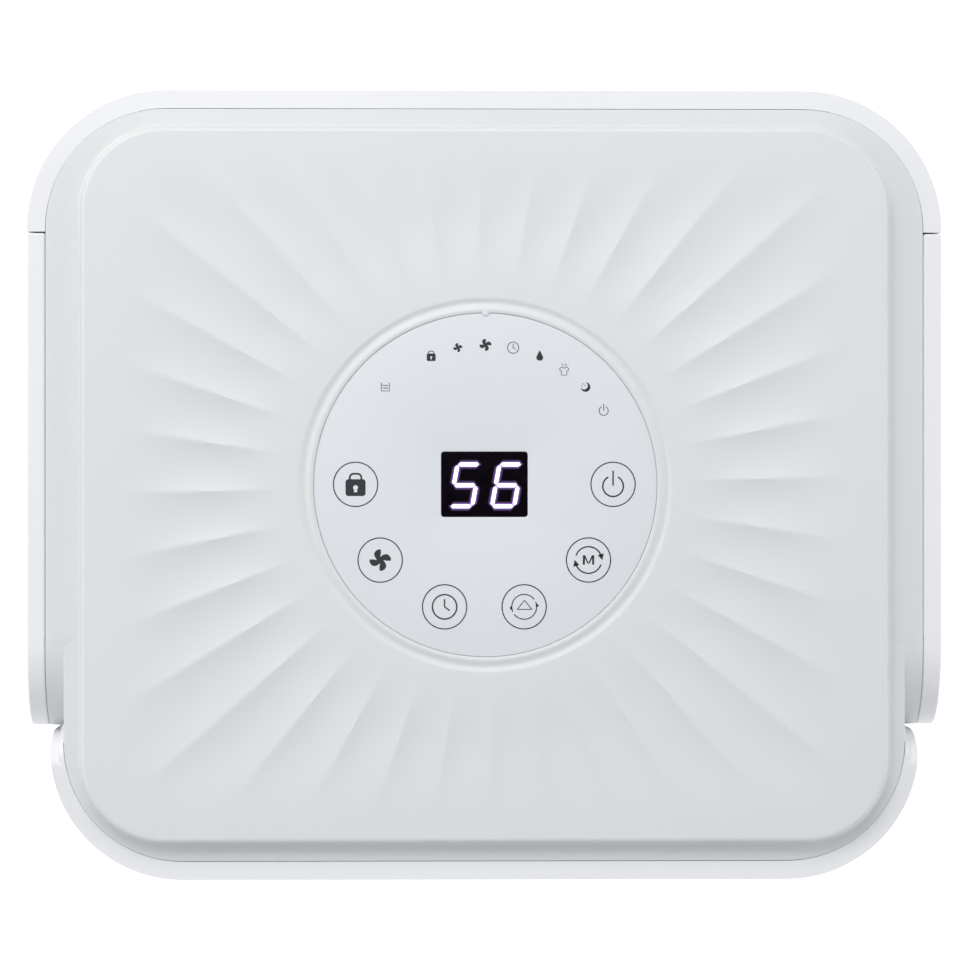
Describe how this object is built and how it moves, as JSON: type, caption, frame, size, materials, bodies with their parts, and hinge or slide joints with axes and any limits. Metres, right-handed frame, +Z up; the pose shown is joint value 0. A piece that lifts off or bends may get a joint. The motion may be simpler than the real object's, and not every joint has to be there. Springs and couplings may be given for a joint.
{
  "type": "dehumidifier",
  "caption": "Upright compressor dehumidifier with a fluted square top, a round touch panel with a two-digit display, a pull-out water tank and a rear air filter.",
  "frame": {"origin": "middle of the footprint, on the floor under the feet", "axes": "+Z up, -Y towards the front where the tank pulls out, +X towards the side with the air outlet"},
  "size_m": [0.276, 0.238, 0.43],
  "materials": {
    "casing_white": "fine satin grain",
    "cover_grey": "satin, pale grey",
    "touch_film": "smooth satin film",
    "display_black": "gloss",
    "board_green": "solder mask",
    "rubber_dark": "matt",
    "inner_plastic": "moulded",
    "tank_clear": "translucent",
    "float_foam": "closed foam",
    "lever_white": "moulded",
    "magnet_dark": "plain",
    "bright_steel": "zinc plated",
    "compressor_black": "enamel",
    "copper": "drawn tube",
    "fin_aluminium": "thin foil",
    "mesh_dark": "woven mesh"
  },
  "bodies": {
    "casing": {"base_pan": "casing_white", "bulkhead": "inner_plastic", "capacitor_clip": "inner_plastic", "capillary_tube": "copper", "coil_frame_left": "bright_steel", "coil_frame_right": "bright_steel", "compressor": "compressor_black", "compressor_bolts": "bright_steel", "compressor_mounts": "rubber_dark", "compressor_plate": "bright_steel", "condenser_fins": "fin_aluminium", "condenser_tube": "copper", "control_box": "inner_plastic", "cord_gland": "rubber_dark", "display_board": "board_green", "display_module": "display_black", "drip_tray": "inner_plastic", "evaporator_fins": "fin_aluminium", "evaporator_tube": "copper", "fan_motor": "bright_steel", "fan_scroll": "inner_plastic", "fan_shroud": "inner_plastic", "filter_drier": "copper", "front_panel": "casing_white", "grip_cup_left": "casing_white", "grip_cup_right": "casing_white", "humidity_sensor": "inner_plastic", "main_board": "board_green", "mid_deck": "inner_plastic", "motor_screws": "bright_steel", "outlet_grille": "casing_white", "rear_housing": "casing_white", "rear_screws": "bright_steel", "refrigerant_pipes": "copper", "rubber_feet": "rubber_dark", "run_capacitor": "fin_aluminium", "side_panel_left": "casing_white", "side_panel_right": "casing_white", "suction_accumulator": "compressor_black", "tank_bay_liner": "inner_plastic", "tank_sensor_board": "board_green", "top_cover": "cover_grey", "touch_board": "board_green", "touch_panel": "touch_film"},
    "tank": {"tank_front": "casing_white", "level_window": "tank_clear", "tank_bucket": "tank_clear", "tank_lid": "tank_clear", "float_pin": "bright_steel"},
    "tank_handle": {"tank_handle": "tank_clear"},
    "float": {"float_arm": "lever_white", "float_block": "float_foam", "float_magnet": "magnet_dark"},
    "filter": {"intake_grille": "casing_white", "filter_frame": "inner_plastic", "filter_mesh": "mesh_dark"},
    "drain_plug": {"drain_plug": "rubber_dark"},
    "fan": {"fan_wheel": "inner_plastic", "motor_shaft": "bright_steel", "fan_nut": "bright_steel"}
  },
  "joints": [
    {"name": "tank_slide", "type": "slide", "parent": "casing", "child": "tank", "axis": [0, -1, 0], "range_m": [0, 0.15]},
    {"name": "tank_handle_fold", "type": "hinge", "parent": "tank", "child": "tank_handle", "pos_m": [0, -0.075, 0.141], "axis": [1, 0, 0], "range_deg": [0, 90]},
    {"name": "float_pivot", "type": "hinge", "parent": "tank", "child": "float", "pos_m": [0, -0.018, 0.104], "axis": [-1, 0, 0], "range_deg": [0, 25]},
    {"name": "filter_pull", "type": "slide", "parent": "casing", "child": "filter", "axis": [0, 1, 0], "range_m": [0, 0.035]},
    {"name": "drain_plug_pull", "type": "slide", "parent": "casing", "child": "drain_plug", "axis": [0, 1, 0], "range_m": [0, 0.03]},
    {"name": "fan_spin", "type": "hinge", "parent": "casing", "child": "fan", "pos_m": [0, 0.03, 0.3], "axis": [0, 1, 0], "continuous": true}
  ]
}
